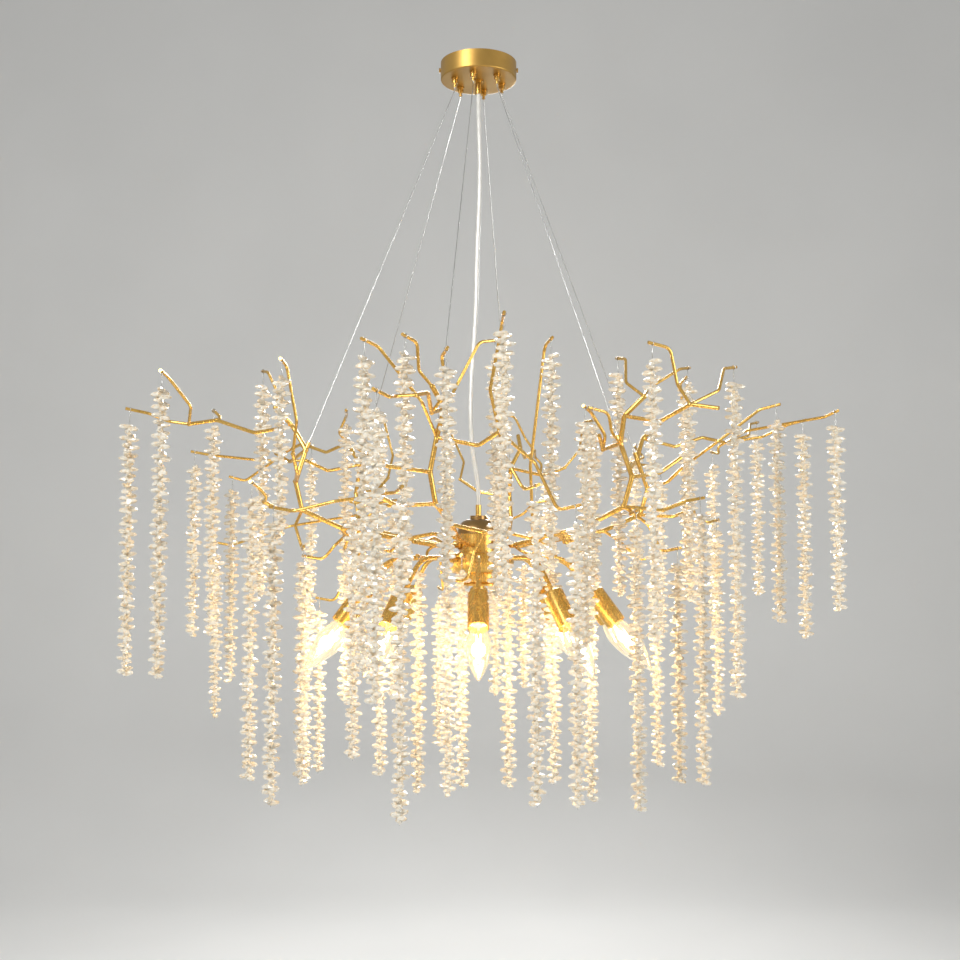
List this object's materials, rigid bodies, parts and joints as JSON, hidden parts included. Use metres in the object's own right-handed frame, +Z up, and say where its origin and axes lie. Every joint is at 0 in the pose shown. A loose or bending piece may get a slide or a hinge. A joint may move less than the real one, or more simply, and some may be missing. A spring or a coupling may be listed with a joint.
{
  "type": "crystal chandelier",
  "caption": "Branch-style pendant chandelier: round ceiling canopy, steel suspension wires, gold branches from a turned hub, hanging crystal strands and tilted candle lamps.",
  "frame": {"origin": "centre of the ceiling face, where the bracket and the canopy's rim meet the ceiling", "axes": "+Z up into the ceiling, -Y towards the viewer's front, +X to the right"},
  "size_m": [1.0557, 0.953, 1.138],
  "materials": {
    "satin_gold": "satin lacquered gold on round rod, faint drawn lines",
    "brushed_bronze": "brushed gold-bronze, matt",
    "dark_gold": "darker gold, satin",
    "steel": "plain drawn steel",
    "zinc": "zinc plated strip",
    "crystal": "clear to champagne faceted glass chips",
    "bulb_glass": "clear candle glass, lit warm white",
    "white_plastic": "white moulded plastic",
    "cord_jacket": "clear-white flexible jacket"
  },
  "bodies": {
    "fixture": {"ceiling_bracket": "zinc", "canopy": "brushed_bronze", "canopy_screws": "brushed_bronze", "terminal_block": "white_plastic", "earth_screw": "steel", "wire_grippers": "satin_gold", "gripper_nuts": "zinc", "cord_gland": "satin_gold", "gland_nut": "zinc", "power_cord": "cord_jacket", "suspension_wires": "steel", "wire_ferrules": "steel", "hub_rod": "satin_gold", "hub_cap": "dark_gold", "hub_ring": "satin_gold", "limb_nuts": "satin_gold", "hub_tray": "satin_gold", "hub_bowl": "satin_gold", "hub_cup": "satin_gold", "hub_finial": "satin_gold", "lamp_arms": "satin_gold", "lamp_holders": "satin_gold", "lamp_sockets": "white_plastic", "bulbs": "bulb_glass", "limb_1": "satin_gold", "strand_set_1": "crystal", "limb_2": "satin_gold", "strand_set_2": "crystal", "limb_3": "satin_gold", "strand_set_3": "crystal", "limb_4": "satin_gold", "strand_set_4": "crystal", "limb_5": "satin_gold", "strand_set_5": "crystal", "limb_6": "satin_gold", "strand_set_6": "crystal"},
    "sleeve_1": {"release_sleeve_1": "satin_gold"},
    "sleeve_2": {"release_sleeve_2": "satin_gold"},
    "sleeve_3": {"release_sleeve_3": "satin_gold"},
    "sleeve_4": {"release_sleeve_4": "satin_gold"},
    "sleeve_5": {"release_sleeve_5": "satin_gold"},
    "sleeve_6": {"release_sleeve_6": "satin_gold"},
    "strand_01": {"strand_01": "crystal"},
    "strand_02": {"strand_02": "crystal"},
    "strand_03": {"strand_03": "crystal"},
    "strand_04": {"strand_04": "crystal"},
    "strand_05": {"strand_05": "crystal"},
    "strand_06": {"strand_06": "crystal"},
    "strand_07": {"strand_07": "crystal"},
    "strand_08": {"strand_08": "crystal"},
    "strand_09": {"strand_09": "crystal"},
    "strand_10": {"strand_10": "crystal"},
    "strand_11": {"strand_11": "crystal"},
    "strand_12": {"strand_12": "crystal"},
    "strand_13": {"strand_13": "crystal"},
    "strand_14": {"strand_14": "crystal"},
    "strand_15": {"strand_15": "crystal"},
    "strand_16": {"strand_16": "crystal"},
    "strand_17": {"strand_17": "crystal"},
    "strand_18": {"strand_18": "crystal"}
  },
  "joints": [
    {"name": "release_sleeve_1_press", "type": "slide", "parent": "fixture", "child": "sleeve_1", "axis": [0, 0, 1], "range_m": [0, 0.002], "stiffness_N_per_m": 200, "springref_m": -0.003},
    {"name": "release_sleeve_2_press", "type": "slide", "parent": "fixture", "child": "sleeve_2", "axis": [0, 0, 1], "range_m": [0, 0.002], "stiffness_N_per_m": 200, "springref_m": -0.003},
    {"name": "release_sleeve_3_press", "type": "slide", "parent": "fixture", "child": "sleeve_3", "axis": [0, 0, 1], "range_m": [0, 0.002], "stiffness_N_per_m": 200, "springref_m": -0.003},
    {"name": "release_sleeve_4_press", "type": "slide", "parent": "fixture", "child": "sleeve_4", "axis": [0, 0, 1], "range_m": [0, 0.002], "stiffness_N_per_m": 200, "springref_m": -0.003},
    {"name": "release_sleeve_5_press", "type": "slide", "parent": "fixture", "child": "sleeve_5", "axis": [0, 0, 1], "range_m": [0, 0.002], "stiffness_N_per_m": 200, "springref_m": -0.003},
    {"name": "release_sleeve_6_press", "type": "slide", "parent": "fixture", "child": "sleeve_6", "axis": [0, 0, 1], "range_m": [0, 0.002], "stiffness_N_per_m": 200, "springref_m": -0.003},
    {"name": "strand_01_swing", "type": "hinge", "parent": "fixture", "child": "strand_01", "pos_m": [-0.501, -0.15, -0.572], "axis": [-0.9236, -0.3399, 0.1772], "range_deg": [-8, 8]},
    {"name": "strand_02_swing", "type": "hinge", "parent": "fixture", "child": "strand_02", "pos_m": [-0.436, -0.23, -0.53], "axis": [-0.1172, -0.9772, 0.1772], "range_deg": [-8, 8]},
    {"name": "strand_03_swing", "type": "hinge", "parent": "fixture", "child": "strand_03", "pos_m": [-0.4, -0.06, -0.563], "axis": [-0.2941, 0.9392, 0.1772], "range_deg": [-8, 8]},
    {"name": "strand_04_swing", "type": "hinge", "parent": "fixture", "child": "strand_04", "pos_m": [-0.313, -0.215, -0.682], "axis": [-0.1537, -0.9721, 0.1772], "range_deg": [-8, 8]},
    {"name": "strand_05_swing", "type": "hinge", "parent": "fixture", "child": "strand_05", "pos_m": [-0.118, -0.5, -0.594], "axis": [-0.5209, -0.8351, 0.1772], "range_deg": [-8, 8]},
    {"name": "strand_06_swing", "type": "hinge", "parent": "fixture", "child": "strand_06", "pos_m": [-0.263, -0.33, -0.722], "axis": [-0.9814, -0.0743, 0.1772], "range_deg": [-8, 8]},
    {"name": "strand_07_swing", "type": "hinge", "parent": "fixture", "child": "strand_07", "pos_m": [-0.041, -0.215, -0.815], "axis": [-0.9631, -0.2025, 0.1772], "range_deg": [-8, 8]},
    {"name": "strand_08_swing", "type": "hinge", "parent": "fixture", "child": "strand_08", "pos_m": [0.099, -0.25, -0.488], "axis": [0.269, -0.9467, 0.1772], "range_deg": [-8, 8]},
    {"name": "strand_09_swing", "type": "hinge", "parent": "fixture", "child": "strand_09", "pos_m": [0.216, -0.23, -0.722], "axis": [0.2414, -0.9541, 0.1772], "range_deg": [-8, 8]},
    {"name": "strand_10_swing", "type": "hinge", "parent": "fixture", "child": "strand_10", "pos_m": [0.488, 0.25, -0.545], "axis": [0.59, 0.7877, 0.1772], "range_deg": [-8, 8]},
    {"name": "strand_11_swing", "type": "hinge", "parent": "fixture", "child": "strand_11", "pos_m": [0.52, 0.06, -0.564], "axis": [0.7501, -0.6371, 0.1772], "range_deg": [-8, 8]},
    {"name": "strand_12_swing", "type": "hinge", "parent": "fixture", "child": "strand_12", "pos_m": [0.522, -0.12, -0.572], "axis": [0.3665, -0.9134, 0.1772], "range_deg": [-8, 8]},
    {"name": "strand_13_swing", "type": "hinge", "parent": "fixture", "child": "strand_13", "pos_m": [0.401, 0.2, -0.602], "axis": [-0.2403, 0.9544, 0.1772], "range_deg": [-8, 8]},
    {"name": "strand_14_swing", "type": "hinge", "parent": "fixture", "child": "strand_14", "pos_m": [0.042, 0.4, -0.512], "axis": [-0.9609, 0.2129, 0.1772], "range_deg": [-8, 8]},
    {"name": "strand_15_swing", "type": "hinge", "parent": "fixture", "child": "strand_15", "pos_m": [0.125, 0.38, -0.622], "axis": [0.3619, -0.9152, 0.1772], "range_deg": [-8, 8]},
    {"name": "strand_16_swing", "type": "hinge", "parent": "fixture", "child": "strand_16", "pos_m": [-0.468, 0.12, -0.609], "axis": [-0.9816, -0.0706, 0.1772], "range_deg": [-8, 8]},
    {"name": "strand_17_swing", "type": "hinge", "parent": "fixture", "child": "strand_17", "pos_m": [-0.463, 0.28, -0.755], "axis": [-0.9837, 0.0319, 0.1772], "range_deg": [-8, 8]},
    {"name": "strand_18_swing", "type": "hinge", "parent": "fixture", "child": "strand_18", "pos_m": [-0.18, 0.36, -0.522], "axis": [-0.2244, 0.9583, 0.1772], "range_deg": [-8, 8]}
  ]
}
